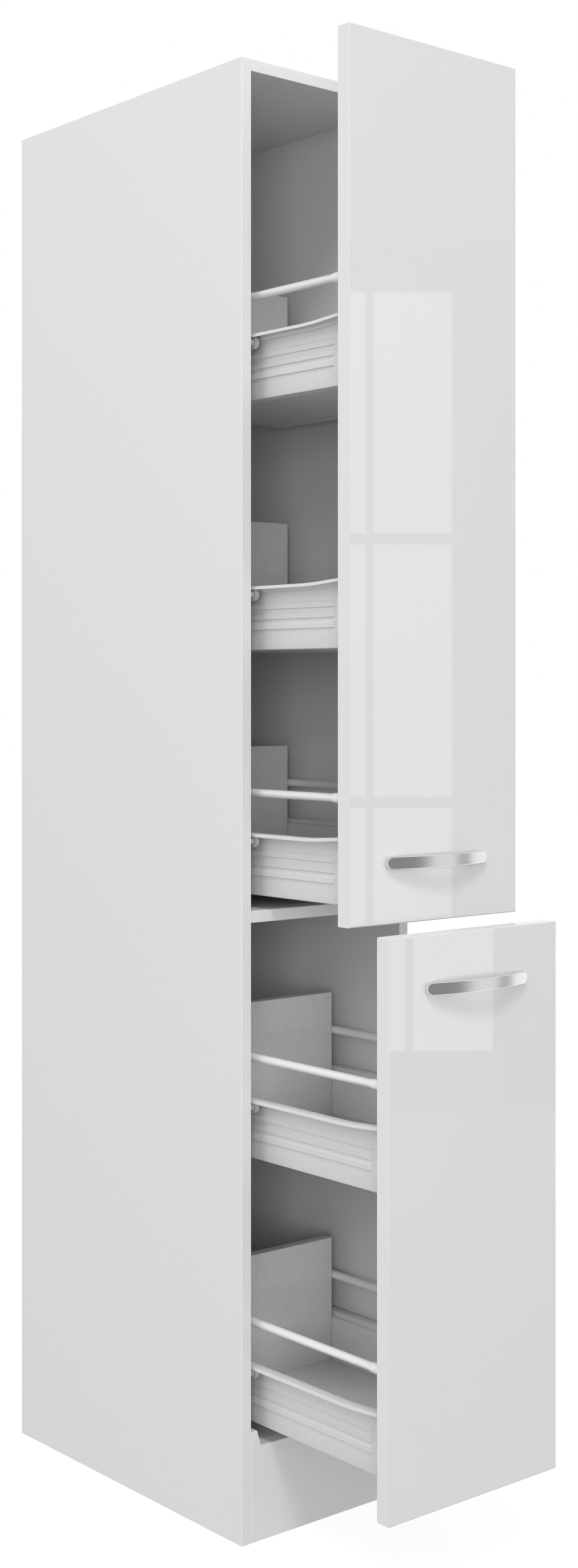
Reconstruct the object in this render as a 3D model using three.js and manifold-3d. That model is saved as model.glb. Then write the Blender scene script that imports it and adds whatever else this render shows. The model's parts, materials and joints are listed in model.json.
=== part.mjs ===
// Pull-out larder unit: a tall, narrow cabinet with two fronts, each drawing out steel-sided
// trays on roller runners. Millimetres, +Z up, fronts toward -Y.
// Parts are laid out in carcass coordinates: x from the outside of the left side panel, y from
// the panels' front edges backward, z from the floor. The last lines centre the whole unit.
import * as THREE from 'three';
import { mergeVertices } from 'three/addons/utils/BufferGeometryUtils.js';
import Module from 'manifold-3d';

const wasm = await Module();
wasm.setup();

// ---- Driving dimensions ----------------------------------------------------------------

// Carcass
const unitWidth = 300;
const unitHeight = 2000;
const unitDepth = 558;
const boardThickness = 16; // carcass and tray boards
const boardEase = 0.5; // broken edges of every board
const backThickness = 4;
const backInset = 12; // rear edges of the sides to the rear face of the back panel
const grooveDepth = 6;
const grooveGap = 0.3;
const plinthHeight = 128;
const shelfDrop = 10; // joint of the two fronts down to the underside of the fixed shelf
const cornerBlockWidth = 17; // at its foot
const cornerBlockTopWidth = 10.5;
const cornerBlockHeight = 21.5;
const cornerBlockLength = 42;

// Fronts
const frontThickness = 24;
const frontEase = 1.2;
const frontSideReveal = 1.5;
const frontTopReveal = 7;
const frontJointHeight = 846; // middle of the gap between the two fronts
const frontJointGap = 6;
const plinthOverlap = 12;

// Bow handles
const handleWidth = 178;
const handleHeight = 16;
const handleReach = 20;
const handleFootReach = 5;
const handleFootLength = 13;
const handleBand = 4.5;
const handleBowSteps = 24;
const upperHandleRise = 79; // lower edge of the upper front to the handle's middle
const lowerHandleDrop = 68; // upper edge of the lower front to the handle's middle

// How far each pull-out stands open: carcass edge to the back of its front
const upperOpening = 196.6;
const lowerOpening = 271.9;

// Trays; the rim is the top of their steel sides
const upperTrayLength = 436;
const lowerTrayLength = 408;
const upperFirstRim = 107; // lower edge of the upper front to the rim of its lowest tray
const upperLowPitch = 334; // from there to the rim of the middle tray
const upperTopPitch = 341; // and on to the rim of the top one
const lowerFirstRim = 120; // lower edge of the lower front to the rim of its lowest tray
const lowerPitch = 360; // from there to the rim of its other tray
const trayBackRise = 110; // rim to the top of the back board
const boardFit = 0.3; // boards to the steel sides

// Folded steel tray side
const sideSheet = 1.2;
const sideHeight = 86;
const sideClearance = 5.5; // carcass side to the rim's hanging lip
const lipDepth = 4.6;
const ledgeWidth = 14.7; // rim from the lip to the gutter
const gutterDepth = 6.8;
const gutterWidth = 6;
const floorFlange = 18; // bottom flange under the tray's base
const bendRadius = 2;
const bendSteps = 2;
const beadCount = 3;
const beadDrop = 21.5; // rim to the top of the first bead
const beadPitch = 13.6;
const beadHeight = 9.8;
const beadRelief = 2;
const beadShoulder = 3.4; // soft slope along the top of a bead
const beadEase = 0.4; // its crisp lower edge
const beadRunOut = 1.5; // slope at its ends
const beadRoot = 1.1; // how deep a bead is let into the sheet
const beadFrontGap = 52;
const beadRearGap = 24;
const rampLength = 95; // rim rises toward the front, so the tray settles as it shuts
const rampRise = 5;
const rampSteps = 4;
const frontTabWidth = 24;
const frontTabDrop = 14;
const rearTabWidth = 30;
const rearTabCorner = 7;

// Gallery rods above the steel sides
const galleryRise = 54; // rim to the rod's middle
const galleryRadius = 5.7;
const galleryFacets = 16;
const sleeveRadius = 6.9; // sleeve on the rod at the front
const sleeveLength = 53;
const sleeveTaper = 7;
const galleryFootLength = 30;
const galleryFootSheet = 2.5;

// Runner rails on the carcass sides and their rollers
const railSheet = 1.5;
const railBend = 2;
const railDrop = 2; // rim to the top of the rail
const railHeight = 21.3;
const railTopFlange = 4.3;
const railFloorFlange = 9.5;
const railSetback = 3; // carcass front edge to the rail's nose
const railNose = 21; // flat nose that carries the front roller
const railTail = 9; // rail beyond a shut tray
const rollerRadius = 9;
const rollerWidth = 7;
const rollerSetback = 12; // carcass front edge to the roller's axle
const rollerInset = 10.5; // carcass side to the roller
const rollerFacets = 16;
const pinFacets = 12; // axles, bosses and the hidden rear rollers
const rollerBevel = 0.6;
const hubRadius = 4.6;
const dishRadius = 7.2;
const dishDepth = 0.8;
const axleRadius = 3;
const axleEnd = 0.3; // axle past the roller
const bossRadius = 5;
const runningGap = 0.3;
const rearRollerRadius = 8;
const rearRollerWidth = 5;
const rearRollerInset = 1.2; // rail web to the rear roller
const rearRollerSetback = 15; // rear end of the tray side to its roller

// Steps along round ends and rounded corners, and the distance within which points are one
const roundSteps = 4;
const handleEndSteps = 8;
const weldDistance = 1e-4;

// ---- Sizes worked out from them --------------------------------------------------------

const innerLeft = boardThickness;
const innerRight = unitWidth - boardThickness;
const backFront = unitDepth - backInset - backThickness;
const shelfUnderside = frontJointHeight - shelfDrop;
const shelfTop = shelfUnderside + boardThickness;
const upperFrontBottom = frontJointHeight + frontJointGap / 2;
const upperFrontTop = unitHeight - frontTopReveal;
const lowerFrontTop = frontJointHeight - frontJointGap / 2;
const lowerFrontBottom = plinthHeight - plinthOverlap;

// Trays of each pull-out from the top down, with the height of their rims above the floor
const upperRim = upperFrontBottom + upperFirstRim;
const lowerRim = lowerFrontBottom + lowerFirstRim;
const upperTrays = [
  { name: 'upper_1', rim: upperRim + upperLowPitch + upperTopPitch, gallery: true },
  { name: 'upper_2', rim: upperRim + upperLowPitch, gallery: false },
  { name: 'upper_3', rim: upperRim, gallery: true },
];
const lowerTrays = [
  { name: 'lower_1', rim: lowerRim + lowerPitch, gallery: true },
  { name: 'lower_2', rim: lowerRim, gallery: true },
];

// Tray side, seen from the left: x of its folds, z below the rim
const lipX = innerLeft + sideClearance;
const gutterX = lipX + ledgeWidth;
const wallX = gutterX + gutterWidth;
const sideFloor = sideSheet - sideHeight;
const baseTop = sideFloor + boardThickness;

// Rollers, z below the rim
const rollerX = innerLeft + rollerInset;
const rollerZ = -sideSheet - runningGap - rollerRadius;
const railTop = -railDrop;
const railBottom = railTop - railHeight;
const rearRollerX = innerLeft + railSheet + rearRollerInset;
const rearRollerZ = railBottom + railSheet + runningGap + rearRollerRadius;

// ---- Materials -------------------------------------------------------------------------

const finish = (color, roughness, metalness) =>
  new THREE.MeshStandardMaterial({ color, roughness, metalness });
const melamine = finish(0xd9d9d8, 0.5, 0);
const glossFront = finish(0xe4e4e4, 0.08, 0);
const trayBoard = finish(0x9a9a98, 0.6, 0);
const coatedSteel = finish(0xdedddb, 0.35, 0.1);
const whiteRod = finish(0xf2f2f0, 0.3, 0.1);
const satinSteel = finish(0xb4b4b3, 0.3, 1);
const zincRail = finish(0xc9c9c7, 0.4, 0.6);
const nylon = finish(0xbdbdbb, 0.45, 0);

// ---- Shape helpers ---------------------------------------------------------------------

// An indexed geometry of positions only, without collapsed faces, its faces pointing out.
function closed(geometry) {
  const bare = geometry.clone();
  bare.deleteAttribute('normal');
  bare.deleteAttribute('uv');
  const merged = mergeVertices(bare, weldDistance);
  const corner = (i) => new THREE.Vector3().fromBufferAttribute(merged.attributes.position, i);
  const faces = [];
  let volume = 0;
  for (let i = 0; i < merged.index.count; i += 3) {
    const face = [0, 1, 2].map((k) => merged.index.getX(i + k));
    if (new Set(face).size < 3) continue;
    const [a, b, c] = face.map(corner);
    volume += a.dot(b.cross(c));
    faces.push(face);
  }
  const outward = volume < 0 ? faces.map(([a, b, c]) => [a, c, b]) : faces;
  merged.setIndex(outward.flat());
  return merged;
}

function toSolid(geometry) {
  const body = closed(geometry);
  return new wasm.Manifold(new wasm.Mesh({
    numProp: 3,
    vertProperties: new Float32Array(body.attributes.position.array),
    triVerts: new Uint32Array(body.index.array),
  }));
}

function fromSolid(solid) {
  const mesh = solid.getMesh();
  const geometry = new THREE.BufferGeometry();
  geometry.setAttribute('position', new THREE.BufferAttribute(mesh.vertProperties, 3));
  geometry.setIndex(new THREE.BufferAttribute(mesh.triVerts, 1));
  return geometry;
}

function join(...geometries) {
  return fromSolid(geometries.map(toSolid).reduce((sum, next) => sum.add(next)));
}

function common(a, b) {
  return fromSolid(toSolid(a).intersect(toSolid(b)));
}

function mirrored(geometry) {
  return closed(geometry.clone().scale(-1, 1, 1).translate(unitWidth, 0, 0));
}

// Local axes of an extrusion turned so that its depth runs along x, y or z.
const along = {
  x: new THREE.Matrix4().set(0, 0, 1, 0, 1, 0, 0, 0, 0, 1, 0, 0, 0, 0, 0, 1),
  y: new THREE.Matrix4().set(0, 1, 0, 0, 0, 0, 1, 0, 1, 0, 0, 0, 0, 0, 0, 1),
  z: new THREE.Matrix4(),
};

// An outline of [first, second] axis pairs (y, z along x; z, x along y; x, y along z).
function extrude(points, axis, from, to, ease = 0) {
  const shape = new THREE.Shape(points.map(([u, v]) => new THREE.Vector2(u, v)));
  const geometry = new THREE.ExtrudeGeometry(shape, {
    depth: to - from - 2 * ease,
    bevelEnabled: ease > 0,
    bevelThickness: ease,
    bevelSize: ease,
    bevelOffset: -ease,
    bevelSegments: 1,
  });
  geometry.translate(0, 0, from + ease);
  return closed(geometry.applyMatrix4(along[axis]));
}

const rectangle = ([u0, u1], [v0, v1]) => [[u0, v0], [u1, v0], [u1, v1], [u0, v1]];

// A board between three pairs of planes, its edges broken; axis is the way through it.
function board(x, y, z, axis, ease = boardEase) {
  const outline = { x: [y, z], y: [z, x], z: [x, y] }[axis];
  const span = { x, y, z }[axis];
  return extrude(rectangle(...outline), axis, ...span, ease);
}

// Points on an arc about [u, v], from one angle to another in degrees.
function arc([u, v], radius, start, end, steps) {
  return Array.from({ length: steps + 1 }, (_, i) => {
    const angle = THREE.MathUtils.degToRad(start + ((end - start) * i) / steps);
    return [u + radius * Math.cos(angle), v + radius * Math.sin(angle)];
  });
}

// A slot-shaped outline, round at both ends of its first axis.
function stadium([u0, u1], middle, height, steps = roundSteps) {
  const r = height / 2;
  return [...arc([u1 - r, middle], r, -90, 90, steps), ...arc([u0 + r, middle], r, 90, 270, steps)];
}

// A shallow arch over a chord of width 2 * half, from height base to height top.
function arch(half, base, top, steps) {
  const rise = top - base;
  const radius = (half * half + rise * rise) / (2 * rise);
  const spread = THREE.MathUtils.radToDeg(Math.asin(half / radius));
  return arc([0, top - radius], radius, 90 + spread, 90 - spread, steps);
}

// A folded strip's section: a path with rounded bends, and the same path a sheet away.
function folded(path, sheet, radius) {
  const near = path.map(([u, v]) => new THREE.Vector2(u, v));
  const bends = near.flatMap((at, i) => {
    if (i === 0 || i === near.length - 1) return [at];
    const back = near[i - 1].clone().sub(at).setLength(radius).add(at);
    const ahead = near[i + 1].clone().sub(at).setLength(radius).add(at);
    const curve = new THREE.QuadraticBezierCurve(back, at, ahead);
    return curve.getPoints(bendSteps);
  });
  const far = bends.map((at, i) => {
    const into = at.clone().sub(bends[Math.max(i - 1, 0)]).normalize();
    const out = bends[Math.min(i + 1, bends.length - 1)].clone().sub(at).normalize();
    const way = into.clone().add(out).normalize();
    const stretch = sheet / Math.max(way.dot(i === 0 ? out : into), 0.5);
    return at.clone().add(new THREE.Vector2(way.y, -way.x).multiplyScalar(stretch));
  });
  return [...bends, ...far.reverse()].map((p) => [p.x, p.y]);
}

// A body lofted along y through rings of [x, z] points, one ring to a station.
function loft(stations, ringAt) {
  const outline = ringAt(stations[0]).map(([x, z]) => new THREE.Vector2(x, z));
  const clockwise = THREE.ShapeUtils.isClockWise(outline);
  const rings = stations.map((y) => {
    const ring = ringAt(y).map(([x, z]) => [x, y, z]);
    return clockwise ? ring.reverse() : ring;
  });
  const count = outline.length;
  const index = [];
  for (let r = 0; r < rings.length - 1; r++) {
    for (let i = 0; i < count; i++) {
      const a = r * count + i;
      const b = r * count + ((i + 1) % count);
      index.push(a, b + count, b, a, a + count, b + count);
    }
  }
  const end = (rings.length - 1) * count;
  const face = rings[0].map(([x, , z]) => new THREE.Vector2(x, z));
  for (const [a, b, c] of THREE.ShapeUtils.triangulateShape(face, [])) {
    index.push(a, b, c, end + a, end + c, end + b);
  }
  const geometry = new THREE.BufferGeometry();
  geometry.setAttribute('position', new THREE.Float32BufferAttribute(rings.flat(2), 3));
  geometry.setIndex(index);
  return closed(geometry);
}

// A turned body about an axis; the profile gives [radius, place along the axis].
function turned(profile, facets, axis, start = 0) {
  const points = profile.map(([r, at]) => new THREE.Vector2(r, at));
  const geometry = new THREE.LatheGeometry(points, facets);
  if (axis === 'x') geometry.rotateZ(-Math.PI / 2);
  return closed(geometry.translate(...(axis === 'x' ? [start, 0, 0] : [0, start, 0])));
}

function piece(name, geometry, material, at = [0, 0, 0]) {
  const mesh = new THREE.Mesh(geometry, material);
  mesh.name = name;
  mesh.position.set(...at);
  return mesh;
}

function assembly(at, ...members) {
  const group = new THREE.Group();
  group.position.set(...at);
  group.add(...members.flat());
  return group;
}

// ---- Carcass ---------------------------------------------------------------------------

// Full-height side, grooved inside for the back panel.
function sidePanel() {
  const t = boardThickness;
  const floor = t - grooveDepth;
  const grooveRear = backFront + backThickness + grooveGap;
  const outline = [
    [0, boardEase], [boardEase, 0], [t - boardEase, 0], [t, boardEase],
    [t, backFront], [floor, backFront], [floor, grooveRear], [t, grooveRear],
    [t, unitDepth], [0, unitDepth],
  ];
  return extrude(outline, 'z', 0, unitHeight);
}

function carcass() {
  const across = [innerLeft, innerRight];
  const bottomZ = [plinthHeight - boardThickness, plinthHeight];
  const backX = [innerLeft - grooveDepth + grooveGap, innerRight + grooveDepth - grooveGap];
  const top = board(across, [0, backFront], [unitHeight - boardThickness, unitHeight], 'z');
  const shelf = board(across, [0, backFront], [shelfUnderside, shelfTop], 'z');
  const back = board(backX, [backFront, backFront + backThickness], [0, unitHeight], 'y');
  const plinth = board(across, [0, boardThickness], [0, plinthHeight], 'y');
  return [
    piece('side_panel_left', sidePanel(), melamine),
    piece('side_panel_right', mirrored(sidePanel()), melamine),
    piece('top_panel', top, melamine),
    piece('fixed_shelf', shelf, melamine),
    piece('bottom_panel', bottomPanel(across, bottomZ), melamine),
    piece('back_panel', back, melamine),
    piece('plinth_panel', plinth, melamine),
  ];
}

// Bottom board behind the plinth, with a glued block in each front corner.
function bottomPanel(across, z) {
  const sheet = board(across, [boardThickness, backFront], z, 'z');
  const block = cornerBlock();
  return join(sheet, block, mirrored(block));
}

// Left block, narrower at its top, with a tongue let into the bottom board.
function cornerBlock() {
  const top = plinthHeight + cornerBlockHeight;
  const inner = innerLeft + cornerBlockTopWidth;
  const outline = [
    [plinthHeight, innerLeft], [plinthHeight, innerLeft + cornerBlockWidth],
    [top, inner], [top, innerLeft],
  ];
  const tongue = board(
    [innerLeft, inner],
    [boardThickness + boardEase, cornerBlockLength - boardEase],
    [plinthHeight - boardThickness / 2, plinthHeight + cornerBlockHeight / 2],
    'x',
  );
  return join(extrude(outline, 'y', 0, cornerBlockLength, boardEase), tongue);
}

// ---- Fronts and handles ----------------------------------------------------------------

function frontPanel(bottom, top) {
  const across = [frontSideReveal, unitWidth - frontSideReveal];
  return board(across, [-frontThickness, 0], [bottom, top], 'y', frontEase);
}

// Flat steel band bowed out from two feet, its ends rounded; the front face is y = 0.
function bowHandle() {
  const half = handleWidth / 2;
  const inner = half - handleFootLength;
  const outline = [
    [-half, 0],
    ...arch(half, handleFootReach, handleReach, handleBowSteps),
    [half, 0],
    ...arch(inner, 0, handleReach - handleBand, handleBowSteps).reverse(),
  ];
  const band = extrude(outline.map(([x, y]) => [x, -y]), 'z', -handleHeight / 2, handleHeight / 2);
  const ends = stadium([-half, half], 0, handleHeight, handleEndSteps).map(([x, z]) => [z, x]);
  return common(band, extrude(ends, 'y', -handleReach, 0));
}

// ---- Trays -----------------------------------------------------------------------------

// Rise of the rim above its level run, at a distance behind the front.
function ramp(distance) {
  const s = THREE.MathUtils.clamp(1 - distance / rampLength, 0, 1);
  return rampRise * s * s * (3 - 2 * s);
}

// Section of the left side at that distance: lip, ledge, gutter, wall and bottom flange.
function sideSection(distance) {
  const lift = ramp(distance);
  const path = [
    [lipX, lift - lipDepth],
    [lipX, lift],
    [gutterX, lift],
    [gutterX, lift - gutterDepth],
    [wallX, lift - gutterDepth],
    [wallX, sideFloor],
    [wallX + floorFlange, sideFloor],
  ];
  return folded(path, sideSheet, bendRadius);
}

// Raised bead along the outside of the wall: a soft shoulder above, a crisp edge below.
function bead(length, number) {
  const face = wallX - sideSheet;
  const top = -beadDrop - number * beadPitch;
  const bottom = top - beadHeight;
  const slope = beadShoulder / beadRelief;
  const [front, rear] = [beadFrontGap, length - beadRearGap];
  return loft([front, front + beadRunOut, rear - beadRunOut, rear], (y) => {
    const crest = face - (y === front || y === rear ? beadEase : beadRelief);
    return [
      [face + beadRoot, top + slope * beadRoot],
      [crest, top - slope * (face - crest)],
      [crest, bottom + beadEase],
      [crest + beadEase, bottom],
      [face + beadRoot, bottom],
    ];
  });
}

// Flat tab turned in from the wall: at the front it meets the front panel, at the rear the boards.
function frontTab() {
  const z = [sideFloor, -frontTabDrop];
  const x = [wallX - sideSheet / 2, wallX + frontTabWidth];
  return extrude(rectangle(z, x), 'y', 0, sideSheet);
}

function rearTab(length) {
  const top = -gutterDepth - sideSheet;
  const inner = wallX + rearTabWidth;
  const start = wallX - sideSheet / 2;
  const middle = [top - rearTabCorner, inner - rearTabCorner];
  const corner = arc(middle, rearTabCorner, 90, 0, roundSteps);
  const outline = [[sideFloor, start], [sideFloor, inner], ...corner, [top, start]];
  return extrude(outline, 'y', length - sideSheet, length);
}

// Roller at the tail of the side, riveted to its wall and running in the carcass rail.
function rearRoller(length) {
  const reach = wallX - sideSheet / 2 - rearRollerX;
  const edge = rearRollerRadius - rollerBevel;
  const profile = [
    [0, 0],
    [edge, 0],
    [rearRollerRadius, rollerBevel],
    [rearRollerRadius, rearRollerWidth - rollerBevel],
    [edge, rearRollerWidth],
    [axleRadius, rearRollerWidth],
    [axleRadius, reach],
    [0, reach],
  ];
  const roller = turned(profile, pinFacets, 'x', rearRollerX);
  return roller.translate(0, length - rearRollerSetback, rearRollerZ);
}

function traySide(length) {
  const steps = Array.from({ length: rampSteps + 1 }, (_, i) => (rampLength * i) / rampSteps);
  const sheet = loft([...steps, length], sideSection);
  const beads = Array.from({ length: beadCount }, (_, i) => bead(length, i));
  return join(sheet, ...beads, frontTab(), rearTab(length), rearRoller(length));
}

// Chipboard base on the sides' bottom flanges, between their bends.
function trayBase(length) {
  const edge = wallX + bendRadius;
  const across = [edge, unitWidth - edge];
  return board(across, [sideSheet, length - sideSheet], [sideFloor, baseTop], 'z');
}

function trayBack(length) {
  const edge = wallX + boardFit;
  const rear = length - sideSheet;
  const across = [edge, unitWidth - edge];
  return board(across, [rear - boardThickness, rear], [baseTop, trayBackRise], 'y');
}

// White rod from a sleeve on the front to a foot screwed behind the back board.
function galleryRail(length) {
  const boardRear = length - sideSheet;
  const end = boardRear + galleryFootSheet;
  const profile = [
    [0, 0], [sleeveRadius, 0], [sleeveRadius, sleeveLength - sleeveTaper],
    [galleryRadius, sleeveLength], [galleryRadius, end], [0, end],
  ];
  const rod = turned(profile, galleryFacets, 'y').translate(gutterX, 0, galleryRise);
  const reach = [gutterX - galleryRadius, gutterX + galleryFootLength];
  const outline = stadium(reach, galleryRise, 2 * galleryRadius).map(([x, z]) => [z, x]);
  return join(rod, extrude(outline, 'y', boardRear, end));
}

// ---- Runners ---------------------------------------------------------------------------

// Rail screwed to the left carcass side: channel, flat nose, boss and axle of the front roller.
function runnerRail(length) {
  const noseEnd = railSetback + railNose;
  const section = folded([
    [innerLeft + railFloorFlange, railBottom],
    [innerLeft, railBottom],
    [innerLeft, railTop],
    [innerLeft + railTopFlange, railTop],
  ], railSheet, railBend);
  const channel = loft([noseEnd, length + railTail], () => section);
  const web = [innerLeft, innerLeft + railSheet];
  const nose = extrude(
    rectangle([railSetback, noseEnd + railSheet], [railBottom, railTop]), 'x', ...web,
  );
  const bossEnd = rollerInset - runningGap;
  const axleReach = rollerInset + rollerWidth + axleEnd;
  const profile = [
    [0, railSheet / 2], [bossRadius, railSheet / 2], [bossRadius, bossEnd],
    [axleRadius, bossEnd], [axleRadius, axleReach], [0, axleReach],
  ];
  const boss = turned(profile, pinFacets, 'x', innerLeft);
  return join(channel, nose, boss.translate(0, rollerSetback, rollerZ));
}

// Nylon roller with its face toward the carcass side at x = 0, where it is dished.
function runnerRoller() {
  const bore = axleRadius + runningGap;
  return turned([
    [bore, 0], [hubRadius, 0], [hubRadius + rollerBevel / 2, dishDepth],
    [dishRadius, dishDepth], [dishRadius + rollerBevel / 2, 0],
    [rollerRadius - rollerBevel, 0], [rollerRadius, rollerBevel],
    [rollerRadius, rollerWidth - rollerBevel], [rollerRadius - rollerBevel, rollerWidth],
    [bore, rollerWidth], [bore, 0],
  ], rollerFacets, 'x');
}

// ---- Assembly --------------------------------------------------------------------------

function mirroredPair(name, geometry, material) {
  return [
    piece(`${name}_left`, geometry, material),
    piece(`${name}_right`, mirrored(geometry), material),
  ];
}

function tray({ name, rim, gallery }, length) {
  const rods = gallery ? mirroredPair(`gallery_rail_${name}`, galleryRail(length), whiteRod) : [];
  return assembly(
    [0, 0, rim],
    mirroredPair(`tray_side_${name}`, traySide(length), coatedSteel),
    piece(`tray_base_${name}`, trayBase(length), trayBoard),
    piece(`tray_back_${name}`, trayBack(length), trayBoard),
    rods,
  );
}

function pullOut(side, opening, trays, length, [bottom, top], handleZ) {
  return assembly(
    [0, -opening, 0],
    piece(`front_${side}`, frontPanel(bottom, top), glossFront),
    piece(`handle_${side}`, bowHandle(), satinSteel, [unitWidth / 2, -frontThickness, handleZ]),
    trays.map((each) => tray(each, length)),
  );
}

function runners(trays, length) {
  const roller = runnerRoller().translate(rollerX, rollerSetback, rollerZ);
  return trays.map(({ name, rim }) => assembly(
    [0, 0, rim],
    mirroredPair(`runner_rail_${name}`, runnerRail(length), zincRail),
    mirroredPair(`roller_${name}`, roller, nylon),
  ));
}

const upperFront = [upperFrontBottom, upperFrontTop];
const lowerFront = [lowerFrontBottom, lowerFrontTop];
const upperHandleZ = upperFrontBottom + upperHandleRise;
const lowerHandleZ = lowerFrontTop - lowerHandleDrop;

// Middle of the footprint, from the foremost handle to the rear edges.
const foremost = Math.max(upperOpening, lowerOpening) + frontThickness + handleReach;
const middleY = (unitDepth - foremost) / 2;

export default assembly(
  [-unitWidth / 2, -middleY, 0],
  carcass(),
  runners(upperTrays, upperTrayLength),
  runners(lowerTrays, lowerTrayLength),
  pullOut('upper', upperOpening, upperTrays, upperTrayLength, upperFront, upperHandleZ),
  pullOut('lower', lowerOpening, lowerTrays, lowerTrayLength, lowerFront, lowerHandleZ),
);
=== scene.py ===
"""Looks of the pull-out larder unit.

Finishes, finer handles, rods and rollers, screws, light and camera. Metres, in the frame of the
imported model: +Z up, fronts toward -Y, the camera at the left.
"""
import json
import math

import bmesh
import bpy
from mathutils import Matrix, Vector

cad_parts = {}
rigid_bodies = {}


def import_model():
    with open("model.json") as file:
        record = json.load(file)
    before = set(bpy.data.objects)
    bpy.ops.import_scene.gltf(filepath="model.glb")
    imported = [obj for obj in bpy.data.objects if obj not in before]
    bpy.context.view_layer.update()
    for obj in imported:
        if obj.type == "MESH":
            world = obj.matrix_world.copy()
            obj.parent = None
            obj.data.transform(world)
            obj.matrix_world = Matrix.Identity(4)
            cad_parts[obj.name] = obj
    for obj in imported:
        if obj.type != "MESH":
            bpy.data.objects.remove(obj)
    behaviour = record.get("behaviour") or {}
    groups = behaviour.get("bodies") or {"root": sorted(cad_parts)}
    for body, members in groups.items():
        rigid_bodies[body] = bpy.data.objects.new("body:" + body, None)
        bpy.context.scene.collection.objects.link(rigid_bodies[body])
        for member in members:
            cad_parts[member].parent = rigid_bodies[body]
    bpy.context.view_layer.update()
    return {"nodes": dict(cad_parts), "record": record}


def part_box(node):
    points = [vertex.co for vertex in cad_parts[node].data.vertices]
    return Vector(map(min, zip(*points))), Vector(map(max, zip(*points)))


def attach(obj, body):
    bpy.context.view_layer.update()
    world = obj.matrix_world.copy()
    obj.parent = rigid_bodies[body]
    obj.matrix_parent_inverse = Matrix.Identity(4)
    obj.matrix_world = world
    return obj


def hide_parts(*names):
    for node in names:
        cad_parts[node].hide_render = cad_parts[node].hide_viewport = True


MM = 0.001

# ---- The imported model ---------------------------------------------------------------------

for startup_object in list(bpy.data.objects):
    bpy.data.objects.remove(startup_object, do_unlink=True)
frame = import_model()
nodes = frame["nodes"]

# ---- Places read from the model -----------------------------------------------------------

SIDES = ("left", "right")
TRAYS = ("upper_1", "upper_2", "upper_3", "lower_1", "lower_2")
GALLERY_TRAYS = ("upper_1", "upper_3", "lower_1", "lower_2")
FRONTS = ("front_upper", "front_lower")
PULLOUT = {tray: f"{tray.split('_')[0]}_pullout" for tray in TRAYS}
INWARD = {"left": 1, "right": -1}  # from that side of the unit toward its middle, along X

FRONT_EDGE_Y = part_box("side_panel_right")[0].y
EDGE_BAND = 0.8 * MM  # thickness of the band on the boards' front edges

# ---- Sizes of the finer pieces ------------------------------------------------------------

HANDLE_BAND = 4.5 * MM
HANDLE_FOOT_REACH = 5 * MM
HANDLE_FOOT_LENGTH = 13 * MM
HANDLE_FILLET = 0.9 * MM
HANDLE_FILLET_STEPS = 5
HANDLE_FACE_STEPS = 6
HANDLE_RING = (44, 14)  # steps along a straight edge and round an end
ROD_RADIUS = 5.7 * MM
SLEEVE_RADIUS = 6.9 * MM
SLEEVE_LENGTH = 50 * MM
SLEEVE_TAPER = 7 * MM
ROD_FOOT_SHEET = 2.5 * MM
ROD_FOOT_REACH = 35.7 * MM
ROD_FOOT_RING = (6, 10)
ROLLER_BORE = 3.3 * MM
ROLLER_HUB = 4.6 * MM
ROLLER_DISH = 7.2 * MM
ROLLER_DISH_DEPTH = 0.8 * MM
# painted shade: from this distance inward from the outer face, the wheel is painted dark for the shadow
# round it
ROLLER_PAINTED_SHADE_START = 6 * MM
SCREW_PROUD = 0.8 * MM
SCREW_PROFILE = ((3.8 * MM, 0.0), (3.6 * MM, 0.45 * MM), (3.0 * MM, 0.72 * MM), (2.6 * MM, SCREW_PROUD))
RECESS_ARM = 1.9 * MM
RECESS_WIDTH = 0.9 * MM
RECESS_DEPTH = 0.7 * MM
RAIL_WEB = 1.5 * MM
RAIL_SCREWS = (34 * MM, 162 * MM, 290 * MM, 418 * MM)  # from the rail's nose
TAB_SHEET = 1.2 * MM
TAB_SCREW_DROPS = (30 * MM, 56 * MM)  # below the rim
REAR_TAB_WIDTH = 30 * MM
RAMP_RISE = 5 * MM
EASE = 0.5 * MM  # on the edges of rods, feet and rollers
FACETS = 48
WELD = 0.001 * MM
SOLID_WELD = 0.005 * MM
SHARP_ANGLE = math.radians(35)  # steeper edges stay crisp, on the finer pieces
FOLD_ANGLE = math.radians(42)  # the same, on the carried-over solids
FLAT_ANGLE = math.radians(1)
ROUNDED_ANGLE = math.radians(28)
STEEL_EDGE = 0.3 * MM
RAIL_EDGE = 0.25 * MM
FRONT_EDGE = 0.3 * MM

# ---- Colours, as linear levels of grey ----------------------------------------------------

CARCASS_COLOUR = 0.8
# edge band on the boards' front edges; its tone, lighter than the board, is painted light that
# brightens them
EDGE_BAND_AND_LIGHT_COLOUR = 0.87
FRONT_COLOUR = 0.79
# painted shade: a darker tone on the fronts' broken edges, which dims the bright line they mirror
FRONT_EDGE_SHADE_COLOUR = 0.69
TRAY_BOARD_COLOUR = 0.65
COATED_STEEL_COLOUR = 0.72
ROD_COLOUR = 0.92
RUNNER_COLOUR = 0.55
HANDLE_COLOUR = 0.79
NYLON_COLOUR = 0.55
# painted shade on the inner part of the front rollers
ROLLER_PAINTED_SHADE_COLOUR = 0.1
GRAIN = (0.3, 0.7)  # the range of noise values that a finish spreads out
TONE_GRAIN = (0.35, 0.65)  # the same, where the noise varies a grey
CHAMFER_NORMAL = 0.75  # largest part of a normal, below which a face counts as a broken edge


# ---- Mesh helpers -------------------------------------------------------------------------

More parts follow.
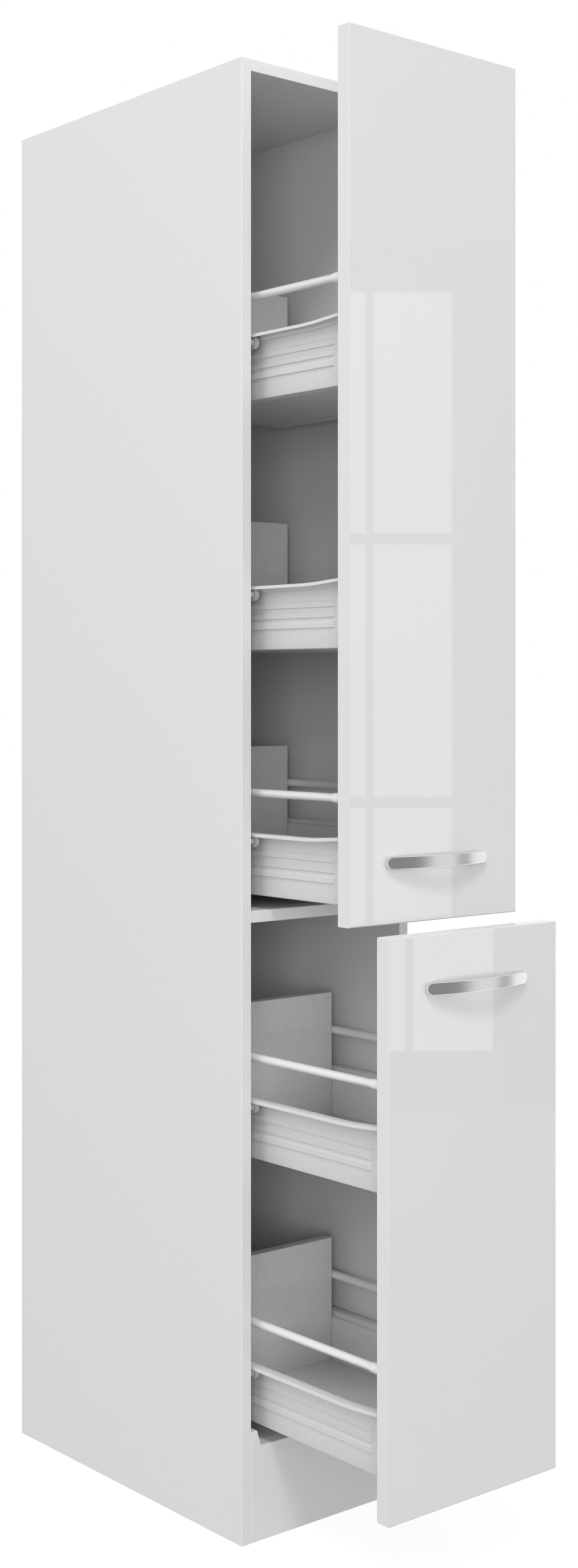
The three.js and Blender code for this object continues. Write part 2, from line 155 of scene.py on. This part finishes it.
def new_object(name, vertices, faces, smooth=True):
    mesh = bpy.data.meshes.new(name)
    mesh.from_pydata([tuple(v) for v in vertices], [], faces)
    working = bmesh.new()
    working.from_mesh(mesh)
    bmesh.ops.remove_doubles(working, verts=working.verts, dist=WELD)
    bmesh.ops.recalc_face_normals(working, faces=working.faces)
    working.to_mesh(mesh)
    working.free()
    for polygon in mesh.polygons:
        polygon.use_smooth = smooth
    thing = bpy.data.objects.new(name, mesh)
    bpy.context.scene.collection.objects.link(thing)
    return thing


def loft_rings(rings, close_ends=True):
    """Vertices and faces of a tube through rings of the same number of points."""
    count = len(rings[0])
    vertices = [point for ring in rings for point in ring]
    faces = []
    for row in range(len(rings) - 1):
        for i in range(count):
            a, b = row * count + i, row * count + (i + 1) % count
            faces.append((a, b, b + count, a + count))
    if close_ends:
        last = (len(rings) - 1) * count
        faces.append(tuple(reversed(range(count))))
        faces.append(tuple(range(last, last + count)))
    return vertices, faces


def turned(profile, axis, centre):
    """Rings of a turned body; the profile gives (radius, place along the axis)."""
    rings = []
    for radius, along in profile:
        ring = []
        for i in range(FACETS):
            angle = 2 * math.pi * i / FACETS
            u, v = radius * math.cos(angle), radius * math.sin(angle)
            offset = Vector((along, u, v)) if axis == "x" else Vector((u, along, v))
            ring.append(centre + offset)
        rings.append(ring)
    return rings


def joined(*parts):
    """One list of vertices and faces from several."""
    vertices, faces = [], []
    for part_vertices, part_faces in parts:
        start = len(vertices)
        vertices += part_vertices
        faces += [tuple(start + i for i in face) for face in part_faces]
    return vertices, faces


def sharpen(thing):
    """Keeps steep edges crisp under smooth shading."""
    thing.data.set_sharp_from_angle(angle=SHARP_ANGLE)


def place(thing, body, slot, *replaced):
    """Gives a piece its finish and its body, and hides the solids that it replaces."""
    thing.data.materials.append(FINISHES[slot])
    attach(thing, body)
    if replaced:
        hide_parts(*replaced)


# ---- Smoothing of the carried-over solids -------------------------------------------------

def smoothing_nodes():
    """Joins the split corners of an imported solid and shades it smooth below an angle."""
    group = bpy.data.node_groups.new("smooth_folds", "GeometryNodeTree")
    group.interface.new_socket("Geometry", in_out="INPUT", socket_type="NodeSocketGeometry")
    group.interface.new_socket("Geometry", in_out="OUTPUT", socket_type="NodeSocketGeometry")
    add = group.nodes.new
    start, end = add("NodeGroupInput"), add("NodeGroupOutput")
    unsplit = add("GeometryNodeRemoveAttribute")
    unsplit.inputs["Name"].default_value = "custom_normal"
    merge = add("GeometryNodeMergeByDistance")
    merge.inputs["Distance"].default_value = SOLID_WELD
    faces = add("GeometryNodeSetShadeSmooth")
    faces.domain = "FACE"
    edges = add("GeometryNodeSetShadeSmooth")
    edges.domain = "EDGE"
    edges.inputs["Shade Smooth"].default_value = False
    angle = add("GeometryNodeInputMeshEdgeAngle")
    sharp = add("FunctionNodeCompare")
    sharp.operation = "GREATER_THAN"
    sharp.inputs["B"].default_value = FOLD_ANGLE
    link = group.links.new
    link(start.outputs["Geometry"], unsplit.inputs["Geometry"])
    link(unsplit.outputs["Geometry"], merge.inputs["Geometry"])
    link(merge.outputs["Geometry"], faces.inputs["Geometry"])
    link(faces.outputs["Geometry"], edges.inputs["Geometry"])
    link(angle.outputs["Unsigned Angle"], sharp.inputs["A"])
    link(sharp.outputs["Result"], edges.inputs["Selection"])
    link(edges.outputs["Geometry"], end.inputs["Geometry"])
    return group


SMOOTH_FOLDS = smoothing_nodes()


def smooth_solid(name, width, segments=2):
    """Smooths the folds of a carried-over solid and rounds its edges by that width."""
    solid = nodes[name]
    weld = solid.modifiers.new("weld", "NODES")
    weld.node_group = SMOOTH_FOLDS
    flat = solid.modifiers.new("flat_faces", "DECIMATE")
    flat.decimate_type = "DISSOLVE"
    flat.angle_limit = FLAT_ANGLE
    edge = solid.modifiers.new("round_edges", "BEVEL")
    edge.limit_method = "ANGLE"
    edge.angle_limit = ROUNDED_ANGLE
    edge.width = width
    edge.segments = segments
    edge.harden_normals = True
    shade = solid.modifiers.new("shade", "NODES")
    shade.node_group = SMOOTH_FOLDS


# ---- Materials ----------------------------------------------------------------------------

class Finish:
    """A procedural material under construction: a principled shader and short ways to feed it."""

    def __init__(self, name, roughness, metallic=0.0):
        self.material = bpy.data.materials.new(name)
        self.material.use_nodes = True
        self.tree = self.material.node_tree
        self.shader = self.tree.nodes["Principled BSDF"]
        self.shader.inputs["Metallic"].default_value = metallic
        self.shader.inputs["Roughness"].default_value = roughness
        self.place = self.add("ShaderNodeTexCoord").outputs["Object"]

    def add(self, kind, inputs=None, **properties):
        node = self.tree.nodes.new(kind)
        for key, value in properties.items():
            setattr(node, key, value)
        for key, value in (inputs or {}).items():
            if isinstance(value, bpy.types.NodeSocket):
                self.tree.links.new(value, node.inputs[key])
            else:
                node.inputs[key].default_value = value
        return node

    def math(self, operation, first, second=0.0):
        return self.add("ShaderNodeMath", {0: first, 1: second}, operation=operation).outputs[0]

    def stretched(self, scale):
        return self.add("ShaderNodeMapping", {"Vector": self.place, "Scale": scale}).outputs[0]

    def noise(self, scale, detail=3.0, at=None):
        return self.add("ShaderNodeTexNoise", {
            "Vector": at or self.place, "Scale": scale, "Detail": detail,
        }).outputs["Fac"]

    def ramp(self, factor, positions, colours):
        node = self.add("ShaderNodeValToRGB", {"Fac": factor})
        for element, position, colour in zip(node.color_ramp.elements, positions, colours):
            element.position = position
            element.color = (*colour, 1.0)
        return node.outputs["Color"]

    def mix(self, factor, first, second):
        node = self.add("ShaderNodeMix", data_type="RGBA")
        for index, value in ((0, factor), (6, first), (7, second)):
            self.tree.links.new(value, node.inputs[index])
        return node.outputs[2]

    def feed(self, socket, value):
        self.tree.links.new(value, self.shader.inputs[socket])

    def vary_roughness(self, grain, low, high):
        spread = self.add("ShaderNodeMapRange", {
            "Value": grain, "From Min": GRAIN[0], "From Max": GRAIN[1], "To Min": low, "To Max": high,
        }).outputs[0]
        self.feed("Roughness", spread)

    def bump(self, height, distance, strength):
        node = self.add("ShaderNodeBump", {
            "Height": height, "Distance": distance, "Strength": strength,
        })
        self.feed("Normal", node.outputs["Normal"])


def grey(level, warmth=0.0):
    """A linear colour near grey."""
    return (level * (1 + warmth), level, level * (1 - warmth))


def shaded(finish, level, spread, scale, warmth=0.0):
    """A grey that varies slightly with fine noise."""
    low, high = grey(level * (1 - spread), warmth), grey(level * (1 + spread), warmth)
    return finish.ramp(finish.noise(scale, detail=4.0), TONE_GRAIN, (low, high))


def carcass_board():
    """Light melamine with a fine pearl, and an edge band on the front edges whose lighter tone is
    painted light.
    """
    finish = Finish("melamine_carcass", 0.45)
    along_y = finish.add("ShaderNodeSeparateXYZ", {"Vector": finish.place}).outputs["Y"]
    banded = finish.math("LESS_THAN", along_y, FRONT_EDGE_Y + EDGE_BAND)
    face = shaded(finish, CARCASS_COLOUR, 0.008, 400)
    # painted light: the lighter tone of the front edges' band
    band_and_light = shaded(finish, EDGE_BAND_AND_LIGHT_COLOUR, 0.008, 400)
    finish.feed("Base Color", finish.mix(banded, face, band_and_light))
    finish.vary_roughness(finish.noise(500), 0.4, 0.5)
    finish.bump(finish.noise(2600, detail=2.0), 0.02 * MM, 0.25)
    return finish.material


def broken_edges(finish):
    """1 on faces turned half way between two axes, 0 on flat ones."""
    normal = finish.add("ShaderNodeNewGeometry").outputs["Normal"]
    sizes = finish.add("ShaderNodeVectorMath", {0: normal}, operation="ABSOLUTE").outputs[0]
    parts = finish.add("ShaderNodeSeparateXYZ", {"Vector": sizes}).outputs
    largest = finish.math("MAXIMUM", finish.math("MAXIMUM", parts["X"], parts["Y"]), parts["Z"])
    return finish.add("ShaderNodeMapRange", {
        "Value": largest, "From Min": 1.0, "From Max": CHAMFER_NORMAL, "To Min": 0.0, "To Max": 1.0,
    }).outputs[0]


def front_lacquer():
    """High gloss lacquer with a barely uneven surface, and a darker tone on the broken edges as painted
    shade that dims their bright line.
    """
    finish = Finish("gloss_lacquer", 0.02)
    face = shaded(finish, FRONT_COLOUR, 0.004, 9)
    # painted shade on the broken edges
    edge = shaded(finish, FRONT_EDGE_SHADE_COLOUR, 0.01, 400)
    finish.feed("Base Color", finish.mix(broken_edges(finish), face, edge))
    finish.vary_roughness(finish.noise(40), 0.015, 0.025)
    finish.bump(finish.noise(9, detail=1.0), 0.01 * MM, 0.15)
    return finish.material


def tray_board():
    """Grey melamine, mottled a little."""
    finish = Finish("melamine_tray", 0.5)
    finish.feed("Base Color", shaded(finish, TRAY_BOARD_COLOUR, 0.03, 120))
    finish.vary_roughness(finish.noise(400), 0.45, 0.55)
    finish.bump(finish.noise(2400, detail=2.0), 0.02 * MM, 0.3)
    return finish.material


def powder_coat(name, level, warmth=0.004, low=0.3, high=0.4):
    """Powder coating: a fine orange skin under a satin gloss."""
    finish = Finish(name, (low + high) / 2)
    finish.feed("Base Color", shaded(finish, level, 0.012, 180, warmth))
    finish.vary_roughness(finish.noise(900), low, high)
    finish.bump(finish.noise(4000, detail=1.0), 0.002 * MM, 0.1)
    return finish.material


def brushed_steel():
    """Satin steel brushed along the handle."""
    finish = Finish("satin_steel", 0.2, metallic=1.0)
    lines = finish.noise(1500, detail=2.0, at=finish.stretched((0.01, 1.0, 1.0)))
    dark, light = grey(HANDLE_COLOUR * 0.98), grey(HANDLE_COLOUR * 1.02)
    finish.feed("Base Color", finish.ramp(lines, GRAIN, (dark, light)))
    finish.vary_roughness(lines, 0.18, 0.22)
    return finish.material


def moulded_nylon():
    """Pale wheel, painted dark on its inner part as painted shade round the wheel; its object's origin
    lies on the axle, on the outer face.
    """
    finish = Finish("nylon", 0.45)
    across = finish.add("ShaderNodeSeparateXYZ", {"Vector": finish.place}).outputs["X"]
    # painted shade: dark past this distance from the outer face
    painted_shade_mask = finish.math("GREATER_THAN", finish.math("ABSOLUTE", across), ROLLER_PAINTED_SHADE_START)
    wheel = shaded(finish, NYLON_COLOUR, 0.03, 500)
    finish.feed("Base Color", finish.mix(painted_shade_mask, wheel, shaded(finish, ROLLER_PAINTED_SHADE_COLOUR, 0.08, 500)))
    finish.vary_roughness(finish.noise(600), 0.4, 0.5)
    finish.bump(finish.noise(1800, detail=2.0), 0.02 * MM, 0.3)
    return finish.material


FINISHES = {
    "carcass_board": carcass_board(),
    "front_lacquer": front_lacquer(),
    "tray_board": tray_board(),
    "coated_steel": powder_coat("powder_coat_side", COATED_STEEL_COLOUR),
    "gallery_rod": powder_coat("powder_coat_rod", ROD_COLOUR, 0.002, 0.12, 0.18),
    "satin_steel": brushed_steel(),
    "runner_steel": powder_coat("coated_runner", RUNNER_COLOUR, 0.002, 0.35, 0.45),
    "nylon": moulded_nylon(),
}
slot_of = {part["node"]: part["material_slot"] for part in frame["record"]["subparts"]}
for node_name, solid in nodes.items():
    solid.material_slots[0].material = FINISHES[slot_of[node_name]]


# ---- Handles ------------------------------------------------------------------------------

def bow(half, base, top, x):
    """Height of a shallow arch over a chord of width 2 * half, at x."""
    rise = top - base
    radius = (half * half + rise * rise) / (2 * rise)
    return top - radius + math.sqrt(max(radius * radius - min(abs(x), half) ** 2, 0.0))


def slot_ring(half, radius, straight_steps, end_steps):
    """Points (x, z) round a slot shape whose end centres stay put as its radius shrinks."""
    points = []
    for side in (1, -1):
        for i in range(straight_steps):
            x = half * (1 - 2 * i / straight_steps)
            points.append((side * x, side * radius))
        for i in range(end_steps):
            angle = math.pi / 2 + math.pi * i / end_steps
            points.append((side * (-half + radius * math.cos(angle)), side * radius * math.sin(angle)))
    return points


def handle(name):
    """A bowed band with round ends and eased edges, its feet on the front."""
    low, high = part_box(name)
    middle = (low + high) / 2
    half = (high.x - low.x) / 2
    end_radius = (high.z - low.z) / 2
    reach = high.y - low.y
    face_y = high.y
    inner_half = half - HANDLE_FOOT_LENGTH
    end_centre = half - end_radius

    def outer_height(x):
        return bow(half, HANDLE_FOOT_REACH, reach, x)

    def inner_height(x):
        return bow(inner_half, 0.0, reach - HANDLE_BAND, x) if abs(x) < inner_half else 0.0

    def inner_edge(turn):
        return lambda x: inner_height(x) + fillet / 2 * (1 - math.cos(turn))

    def outer_edge(turn):
        return lambda x: outer_height(x) - fillet * (1 - math.sin(turn))

    def ring(inset, height_at):
        points = slot_ring(end_centre, end_radius - inset, *HANDLE_RING)
        return [Vector((middle.x + x, face_y - height_at(x), middle.z + z)) for x, z in points]

    fillet = HANDLE_FILLET
    turns = [math.pi / 2 * i / HANDLE_FILLET_STEPS for i in range(HANDLE_FILLET_STEPS + 1)]
    steps = range(1, HANDLE_FACE_STEPS + 1)
    insets = [fillet + (end_radius - fillet) * i / HANDLE_FACE_STEPS for i in steps]
    rings = [ring(inset, inner_height) for inset in reversed(insets)]
    rings += [ring(fillet * (1 - math.sin(turn)), inner_edge(turn)) for turn in turns]
    rings += [ring(fillet * (1 - math.cos(turn)), outer_edge(turn)) for turn in turns]
    rings += [ring(inset, outer_height) for inset in insets]
    thing = new_object(f"{name}_band", *loft_rings(rings, close_ends=False))
    place(thing, f"{name.split('_')[1]}_pullout", "satin_steel", name)


for handle_name in ("handle_upper", "handle_lower"):
    handle(handle_name)


# ---- Gallery rods -------------------------------------------------------------------------

def foot_plate(centre, inward):
    """The flat foot behind the back board: a slot-shaped plate with eased edges."""
    half = (ROD_FOOT_REACH - 2 * ROD_RADIUS) / 2
    middle = centre + Vector((inward * half, 0, 0))
    sheet = ROD_FOOT_SHEET
    rings = []
    for inset, along in (
        (ROD_RADIUS, 0), (EASE, 0), (0, EASE), (0, sheet - EASE), (EASE, sheet), (ROD_RADIUS, sheet),
    ):
        points = slot_ring(half, ROD_RADIUS - inset, *ROD_FOOT_RING)
        rings.append([middle + Vector((x, along, z)) for x, z in points])
    return loft_rings(rings, close_ends=False)


def gallery_rod(tray, side):
    """A round rod with a thicker sleeve in front and a flat foot at the back."""
    name = f"gallery_rail_{tray}_{side}"
    low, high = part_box(name)
    inward = INWARD[side]
    outer_x = low.x if side == "left" else high.x
    centre = Vector((outer_x + inward * SLEEVE_RADIUS, low.y, (low.z + high.z) / 2))
    length = high.y - low.y
    taper_start = SLEEVE_LENGTH - SLEEVE_TAPER
    profile = [
        (0, 0), (SLEEVE_RADIUS - EASE, 0), (SLEEVE_RADIUS, EASE),
        (SLEEVE_RADIUS, taper_start - EASE), (SLEEVE_RADIUS - EASE / 2, taper_start + EASE),
        (ROD_RADIUS + EASE / 2, SLEEVE_LENGTH - EASE), (ROD_RADIUS, SLEEVE_LENGTH),
        (ROD_RADIUS, length - EASE), (ROD_RADIUS - EASE, length), (0, length),
    ]
    rod = loft_rings(turned(profile, "y", centre), close_ends=False)
    plate = foot_plate(centre + Vector((0, length - ROD_FOOT_SHEET, 0)), inward)
    thing = new_object(f"rod_{tray}_{side}", *joined(rod, plate))
    sharpen(thing)
    place(thing, PULLOUT[tray], "gallery_rod", name)


for tray_name in GALLERY_TRAYS:
    for side_name in SIDES:
        gallery_rod(tray_name, side_name)


# ---- Front rollers ------------------------------------------------------------------------

def front_roller(tray, side):
    """A dished wheel round its axle; its origin lies on the axle, on the outer face."""
    name = f"roller_{tray}_{side}"
    low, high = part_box(name)
    inward = INWARD[side]
    face_x = low.x if side == "left" else high.x
    width = high.x - low.x
    radius = (high.z - low.z) / 2
    inner_dish = width - ROLLER_DISH_DEPTH
    profile = [
        (ROLLER_BORE, 0), (ROLLER_HUB, 0), (ROLLER_HUB + EASE, ROLLER_DISH_DEPTH),
        (ROLLER_DISH, ROLLER_DISH_DEPTH), (ROLLER_DISH + EASE, 0), (radius - EASE, 0), (radius, EASE),
        (radius, width - EASE), (radius - EASE, width), (ROLLER_DISH + EASE, width),
        (ROLLER_DISH, inner_dish), (ROLLER_HUB + EASE, inner_dish),
        (ROLLER_HUB, width), (ROLLER_BORE, width), (ROLLER_BORE, 0),
    ]
    profile = [(r, inward * along) for r, along in profile]
    rings = turned(profile, "x", Vector((0, 0, 0)))
    thing = new_object(f"wheel_{tray}_{side}", *loft_rings(rings, close_ends=False))
    thing.location = (face_x, (low.y + high.y) / 2, (low.z + high.z) / 2)
    sharpen(thing)
    place(thing, name, "nylon", name)


for tray_name in TRAYS:
    for side_name in SIDES:
        front_roller(tray_name, side_name)


# ---- Screws -------------------------------------------------------------------------------

def screw(seat, facing):
    """Vertices and faces of a low head with a cross recess, its seat on a surface."""
    across = Vector((0, 1, 0)) if facing.x else Vector((1, 0, 0))
    arm, half = RECESS_ARM, RECESS_WIDTH / 2
    middle = (arm + half) / 2
    cross = [(arm, 0), (arm, half), (middle, half), (half, half), (half, middle), (half, arm)]
    for _ in range(3):
        cross += [(-v, u) for u, v in cross[-6:]]
    circle = [(u / math.hypot(u, v), v / math.hypot(u, v)) for u, v in cross]

    def ring(points, size, height):
        middle_point = seat + facing * height
        return [middle_point + across * (u * size) + Vector((0, 0, v * size)) for u, v in points]

    rings = [ring(circle, radius, height) for radius, height in SCREW_PROFILE]
    rings += [ring(cross, 1.0, height) for height in (SCREW_PROUD, SCREW_PROUD - RECESS_DEPTH)]
    return loft_rings(rings)


def screws(name, body, seats, facing):
    """One piece of screw heads that face the same way."""
    thing = new_object(name, *joined(*[screw(Vector(seat), facing) for seat in seats]))
    sharpen(thing)
    place(thing, body, "satin_steel")


def rail_screws(tray, side):
    """Screws through the web of a rail, along its middle."""
    low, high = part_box(f"runner_rail_{tray}_{side}")
    inward = INWARD[side]
    web_x = (low.x if side == "left" else high.x) + inward * RAIL_WEB
    along = [low.y + start for start in RAIL_SCREWS if low.y + start < high.y - SCREW_PROFILE[0][0]]
    seats = [(web_x, y, (low.z + high.z) / 2) for y in along]
    screws(f"rail_screws_{tray}_{side}", "carcass", seats, Vector((inward, 0, 0)))


def tab_screws(tray, side):
    """Screws in the front and rear tabs of a steel side, and in the foot of its rod."""
    low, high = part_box(f"tray_side_{tray}_{side}")
    inward = INWARD[side]
    tab_x = (high.x if side == "left" else low.x) - inward * REAR_TAB_WIDTH / 2
    rim = high.z - RAMP_RISE
    seats = [
        (tab_x, y, rim - drop) for y in (low.y + TAB_SHEET, high.y) for drop in TAB_SCREW_DROPS
    ]
    if tray in GALLERY_TRAYS:
        rod_low, rod_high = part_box(f"gallery_rail_{tray}_{side}")
        foot_x = (rod_high.x if side == "left" else rod_low.x) - inward * ROD_RADIUS
        seats.append((foot_x, rod_high.y, (rod_low.z + rod_high.z) / 2))
    screws(f"tab_screws_{tray}_{side}", PULLOUT[tray], seats, Vector((0, 1, 0)))


for tray_name in TRAYS:
    for side_name in SIDES:
        rail_screws(tray_name, side_name)
        tab_screws(tray_name, side_name)


# ---- Softer folds and edges on the carried-over solids ------------------------------------

for tray_name in TRAYS:
    for side_name in SIDES:
        smooth_solid(f"tray_side_{tray_name}_{side_name}", STEEL_EDGE)
        smooth_solid(f"runner_rail_{tray_name}_{side_name}", RAIL_EDGE)
for front_name in FRONTS:
    smooth_solid(front_name, FRONT_EDGE, segments=3)


# ---- Floor, surroundings and light --------------------------------------------------------

WORLD_LEVEL = 0.7
SURROUNDINGS = 1.0
FLOOR_COLOUR = 0.35
FLOOR_GLOW = 0.8  # seen floor: this much by itself, and FLOOR_PALE of the light that reaches it
FLOOR_PALE = 0.34
FLOOR_HALF = 12.0
# The window that the gloss fronts mirror stands square to the mirrored view.
WINDOW_BASE = Vector((1.598, -2.300, 0.0))
WINDOW_RIGHT = Vector((0.7533, 0.6577, 0.0))
WINDOW_COLUMNS = ((-0.214, -0.014), (0.006, 0.204))
WINDOW_ROWS = ((0.249, 0.8475), (0.8765, 1.5185), (1.5475, 2.161))
WINDOW_RADIANCE = 1.45
# What the handles' curve mirrors: a dim wall straight ahead, a narrow one at the right, and a paler
# stretch behind and between them. Name, directions from -Y toward +X, distance, radiance and the
# share of the width over which each side fades out.
WALLS = (
    ("dim_wall_ahead", (-32, 36), 2.6, 0.27, 0.24),
    ("dim_wall_right", (50, 67), 2.6, 0.42, 0.35),
    ("pale_wall", (8, 68), 3.5, 0.86, 0.08),
)
WALL_HEIGHTS = (-0.5, 2.4)
# Name, place, size and power of each soft lamp
LAMPS = (
    ("key", (-3.7, -5.4, 10.2), 2.7, 374),
    ("fill", (-5.2, -6.4, 1.6), 2.8, 145),
    ("left", (-6.8, -0.8, 5.5), 3.8, 88),
)
LAMP_TARGET = (0.0, 0.0, 1.0)


def reflected_card(name, corners):
    """A flat part of the room, seen only in reflections, and the tree of its see-through material."""
    card = new_object(name, corners, [tuple(range(len(corners)))], smooth=False)
    material = bpy.data.materials.new(name)
    material.use_nodes = True
    tree = material.node_tree
    tree.nodes.remove(tree.nodes["Principled BSDF"])
    card.data.materials.append(material)
    card.visible_camera = False
    card.visible_diffuse = False
    card.visible_shadow = False
    card.visible_transmission = False
    return card, tree


def window_pane(name, corners, mirrors):
    """Adds light to what the gloss fronts mirror there."""
    card, tree = reflected_card(name, corners)
    light = tree.nodes.new("ShaderNodeEmission")
    light.inputs["Strength"].default_value = WINDOW_RADIANCE
    clear = tree.nodes.new("ShaderNodeBsdfTransparent")
    both = tree.nodes.new("ShaderNodeAddShader")
    tree.links.new(light.outputs[0], both.inputs[0])
    tree.links.new(clear.outputs[0], both.inputs[1])
    tree.links.new(both.outputs[0], tree.nodes["Material Output"].inputs["Surface"])
    card.light_linking.receiver_collection = mirrors


def window():
    """The panes, two across and three high, mirrored by the gloss fronts alone."""
    gloss_fronts = bpy.data.collections.new("gloss_fronts")
    for name in FRONTS:
        gloss_fronts.objects.link(nodes[name])
    for column, (left, right) in enumerate(WINDOW_COLUMNS):
        for row, (low, high) in enumerate(WINDOW_ROWS):
            corners = ((left, low), (right, low), (right, high), (left, high))
            pane = [WINDOW_BASE + WINDOW_RIGHT * x + Vector((0, 0, z)) for x, z in corners]
            window_pane(f"window_pane_{column}_{row}", pane, gloss_fronts)


def soft_wall(name, azimuths, distance, radiance, soft):
    """A stretch of the room with soft sides, seen from the handles between two directions."""
    centre_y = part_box("handle_upper")[1].y
    start, end = azimuths
    bottom, top = WALL_HEIGHTS
    corners = []
    for azimuth, height in ((start, bottom), (end, bottom), (end, top), (start, top)):
        angle = math.radians(azimuth)
        corners.append((distance * math.sin(angle), centre_y - distance * math.cos(angle), height))
    _, tree = reflected_card(name, corners)
    add, link = tree.nodes.new, tree.links.new
    across = add("ShaderNodeSeparateXYZ")
    link(add("ShaderNodeTexCoord").outputs["Generated"], across.inputs[0])
    cover = add("ShaderNodeMath")
    cover.operation = "MULTIPLY"
    for index, (low, high) in enumerate(((0.0, soft), (1.0, 1.0 - soft))):
        fade = add("ShaderNodeMapRange")
        fade.interpolation_type = "SMOOTHSTEP"
        fade.inputs["From Min"].default_value = low
        fade.inputs["From Max"].default_value = high
        link(across.outputs["X"], fade.inputs["Value"])
        link(fade.outputs[0], cover.inputs[index])
    wall = add("ShaderNodeEmission")
    wall.inputs["Strength"].default_value = radiance
    choice = add("ShaderNodeMixShader")
    link(cover.outputs[0], choice.inputs[0])
    link(add("ShaderNodeBsdfTransparent").outputs[0], choice.inputs[1])
    link(wall.outputs[0], choice.inputs[2])
    link(choice.outputs[0], tree.nodes["Material Output"].inputs["Surface"])


def floor():
    """A matt floor that looks nearly white by itself and keeps the unit's shadow."""
    half = FLOOR_HALF
    corners = [(-half, -half, 0), (half, -half, 0), (half, half, 0), (-half, half, 0)]
    sheet = new_object("floor", corners, [(0, 1, 2, 3)], smooth=False)
    material = bpy.data.materials.new("pale_floor")
    material.use_nodes = True
    tree = material.node_tree
    tree.nodes.remove(tree.nodes["Principled BSDF"])
    add, link = tree.nodes.new, tree.links.new
    matt = add("ShaderNodeBsdfDiffuse")
    matt.inputs["Color"].default_value = (*grey(FLOOR_COLOUR), 1.0)
    pale = add("ShaderNodeBsdfDiffuse")
    pale.inputs["Color"].default_value = (*grey(FLOOR_PALE), 1.0)
    glow = add("ShaderNodeEmission")
    glow.inputs["Strength"].default_value = FLOOR_GLOW
    seen = add("ShaderNodeAddShader")
    link(pale.outputs[0], seen.inputs[0])
    link(glow.outputs[0], seen.inputs[1])
    path = add("ShaderNodeLightPath")
    direct = add("ShaderNodeMath")
    direct.operation = "MAXIMUM"
    link(path.outputs["Is Camera Ray"], direct.inputs[0])
    link(path.outputs["Is Glossy Ray"], direct.inputs[1])
    choice = add("ShaderNodeMixShader")
    link(direct.outputs[0], choice.inputs[0])
    link(matt.outputs[0], choice.inputs[1])
    link(seen.outputs[0], choice.inputs[2])
    link(choice.outputs[0], tree.nodes["Material Output"].inputs["Surface"])
    sheet.data.materials.append(material)


def surroundings():
    """Soft light from all round, which looks white where it is seen or mirrored."""
    world = bpy.data.worlds.new("studio")
    bpy.context.scene.world = world
    world.use_nodes = True
    tree = world.node_tree
    add, link = tree.nodes.new, tree.links.new
    soft = tree.nodes["Background"]
    soft.inputs["Color"].default_value = (1, 1, 1, 1)
    soft.inputs["Strength"].default_value = WORLD_LEVEL
    white = add("ShaderNodeBackground")
    white.inputs["Color"].default_value = (1, 1, 1, 1)
    white.inputs["Strength"].default_value = SURROUNDINGS
    path = add("ShaderNodeLightPath")
    seen = None
    for ray in ("Is Camera Ray", "Is Glossy Ray", "Is Transmission Ray"):
        if seen is None:
            seen = path.outputs[ray]
            continue
        either = add("ShaderNodeMath")
        either.operation = "MAXIMUM"
        link(seen, either.inputs[0])
        link(path.outputs[ray], either.inputs[1])
        seen = either.outputs[0]
    choice = add("ShaderNodeMixShader")
    link(seen, choice.inputs[0])
    link(soft.outputs[0], choice.inputs[1])
    link(white.outputs[0], choice.inputs[2])
    link(choice.outputs[0], tree.nodes["World Output"].inputs["Surface"])


def soft_lamp(name, position, size, power):
    """A square lamp that lights the unit but isn't seen or mirrored itself."""
    lamp = bpy.data.lights.new(name, "AREA")
    lamp.shape = "SQUARE"
    lamp.size = size
    lamp.energy = power
    thing = bpy.data.objects.new(name, lamp)
    thing.location = position
    aim = Vector(LAMP_TARGET) - Vector(position)
    thing.rotation_euler = aim.to_track_quat("-Z", "Y").to_euler()
    thing.visible_camera = False
    thing.visible_glossy = False
    bpy.context.scene.collection.objects.link(thing)


window()
for wall_row in WALLS:
    soft_wall(*wall_row)
floor()
surroundings()
for lamp_row in LAMPS:
    soft_lamp(*lamp_row)


# ---- Camera -------------------------------------------------------------------------------

PHOTO_WIDTH = 949
PHOTO_HEIGHT = 2576
FOCAL_PIXELS = 3356
AXIS_PIXEL = (609.3, 1131.0)  # where the camera's axis meets the photograph
SENSOR = 36.0
CAMERA_PLACE = (-1.822, -2.30005, 1.152)
CAMERA_TURN = (math.radians(90), 0, math.radians(-41.12))  # level, and turned to the right
view = bpy.data.cameras.new("camera")
view.sensor_width = SENSOR
view.lens = SENSOR * FOCAL_PIXELS / PHOTO_HEIGHT
view.shift_x = (PHOTO_WIDTH / 2 - AXIS_PIXEL[0]) / PHOTO_HEIGHT
view.shift_y = (AXIS_PIXEL[1] - PHOTO_HEIGHT / 2) / PHOTO_HEIGHT
camera = bpy.data.objects.new("camera", view)
camera.location = CAMERA_PLACE
camera.rotation_euler = CAMERA_TURN
bpy.context.scene.collection.objects.link(camera)
bpy.context.scene.camera = camera
bpy.context.scene.view_settings.view_transform = "Standard"
